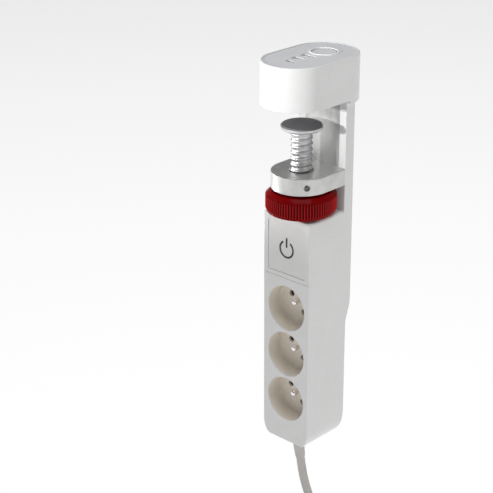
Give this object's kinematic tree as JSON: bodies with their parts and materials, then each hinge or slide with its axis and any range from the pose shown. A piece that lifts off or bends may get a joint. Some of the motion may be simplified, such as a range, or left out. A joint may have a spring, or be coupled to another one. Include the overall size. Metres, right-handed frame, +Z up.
{
  "type": "desk power strip",
  "caption": "Clamp-on desk power strip: a racetrack housing with USB ports and a power button on the desk top, a screw clamp with a red hand wheel, and a hanging strip of mains sockets.",
  "frame": {"origin": "on the clamp spindle's axis, in the plane of the desk top, at the bottom of the rest pad", "axes": "+Z up, -Y towards the user, who faces the sockets, +X to the right seen by the user; the desk edge is the plane y = 25 mm"},
  "size_m": [0.058, 0.0908, 0.6616],
  "materials": {
    "white_shell": "smooth white moulded plastic with a soft gloss",
    "ring_white": "bright white gloss ring",
    "panel_grey": "satin light grey plastic with a fine grain",
    "label_white": null,
    "well_grey": "matte warm grey moulded plastic",
    "shutter_dark": "dark grey nylon",
    "inner_white": "natural white nylon",
    "wheel_red": "deep red gloss plastic with ribs",
    "cast_metal": "finely machined pale metal",
    "steel_bright": "bright zinc-plated steel",
    "nickel": "polished nickel plate",
    "brass_bare": "plain drawn brass",
    "washer_nylon": "black nylon",
    "pad_rubber": "soft grey rubber with a fine grain",
    "cord_grey": "matte warm light grey flexible plastic",
    "tie_fabric": "black hook-and-loop tape",
    "tongue_white": "white moulded insulator",
    "board_green": "green circuit board",
    "part_black": "black moulded component",
    "lamp_clear": "clear light pipe",
    "wire_sleeve": "insulated wires"
  },
  "bodies": {
    "frame": {"housing_shell": "white_shell", "rear_body": "white_shell", "upper_cover": "white_shell", "lower_cover": "white_shell", "button_ring": "ring_white", "top_panel": "panel_grey", "label_plate": "label_white", "socket_1": "well_grey", "socket_2": "well_grey", "socket_3": "well_grey", "spindle_guide": "inner_white", "busbar_tray": "inner_white", "board_standoffs": "inner_white", "base_plate": "inner_white", "clamp_bracket": "cast_metal", "lock_screw": "steel_bright", "spindle_key": "steel_bright", "base_screws": "steel_bright", "cover_screws": "steel_bright", "spine_screws": "steel_bright", "earth_pin_1": "nickel", "earth_pin_2": "nickel", "earth_pin_3": "nickel", "plug_pins": "nickel", "plug_earth_clips": "nickel", "usb_a_shell_1": "nickel", "usb_a_shell_2": "nickel", "usb_c_shell": "nickel", "busbar_line": "brass_bare", "busbar_neutral": "brass_bare", "busbar_earth": "brass_bare", "wheel_washers": "washer_nylon", "rest_pad": "pad_rubber", "cord_lead": "cord_grey", "cord_hank": "cord_grey", "cord_tail": "cord_grey", "cord_end": "cord_grey", "strain_relief": "cord_grey", "plug_body": "cord_grey", "hank_tie": "tie_fabric", "usb_a_tongue_1": "tongue_white", "usb_a_tongue_2": "tongue_white", "usb_c_tongue": "tongue_white", "usb_board": "board_green", "power_switch": "part_black", "transformer": "part_black", "capacitors": "part_black", "cord_clamp": "part_black", "status_light": "lamp_clear", "riser_wires": "wire_sleeve"},
    "hand_wheel": {"clamp_wheel": "wheel_red", "wheel_nut": "brass_bare"},
    "clamp_screw": {"spindle": "steel_bright", "pressure_plate": "steel_bright", "plate_screw": "steel_bright", "clamp_pad": "pad_rubber"},
    "button": {"power_button": "panel_grey"},
    "shutter_top": {"shutter_1": "shutter_dark"},
    "shutter_middle": {"shutter_2": "shutter_dark"},
    "shutter_bottom": {"shutter_3": "shutter_dark"}
  },
  "joints": [
    {"name": "wheel_turn", "type": "hinge", "parent": "frame", "child": "hand_wheel", "pos_m": [0, 0, -0.0828], "axis": [0, 0, 1], "range_deg": [-612, 2304]},
    {"name": "spindle_lift", "type": "slide", "parent": "frame", "child": "clamp_screw", "axis": [0, 0, 1], "range_m": [-0.03205, 0.00855]},
    {"name": "button_press", "type": "slide", "parent": "frame", "child": "button", "axis": [0, 0, -1], "range_m": [0, 0.0025], "stiffness_N_per_m": 600, "springref_m": -0.001},
    {"name": "shutter_top_turn", "type": "hinge", "parent": "frame", "child": "shutter_top", "pos_m": [0, 0.0012, -0.174], "axis": [0, 1, 0], "range_deg": [0, 36], "stiffness_Nm_per_rad": 0.004, "springref_deg": -20.05},
    {"name": "shutter_middle_turn", "type": "hinge", "parent": "frame", "child": "shutter_middle", "pos_m": [0, 0.0012, -0.2163], "axis": [0, 1, 0], "range_deg": [0, 36], "stiffness_Nm_per_rad": 0.004, "springref_deg": -20.05},
    {"name": "shutter_bottom_turn", "type": "hinge", "parent": "frame", "child": "shutter_bottom", "pos_m": [0, 0.0012, -0.2586], "axis": [0, 1, 0], "range_deg": [0, 36], "stiffness_Nm_per_rad": 0.004, "springref_deg": -20.05}
  ],
  "couplings": [
    {"joint": "spindle_lift", "follows": "wheel_turn", "m_per_rad": -0.00079577}
  ]
}
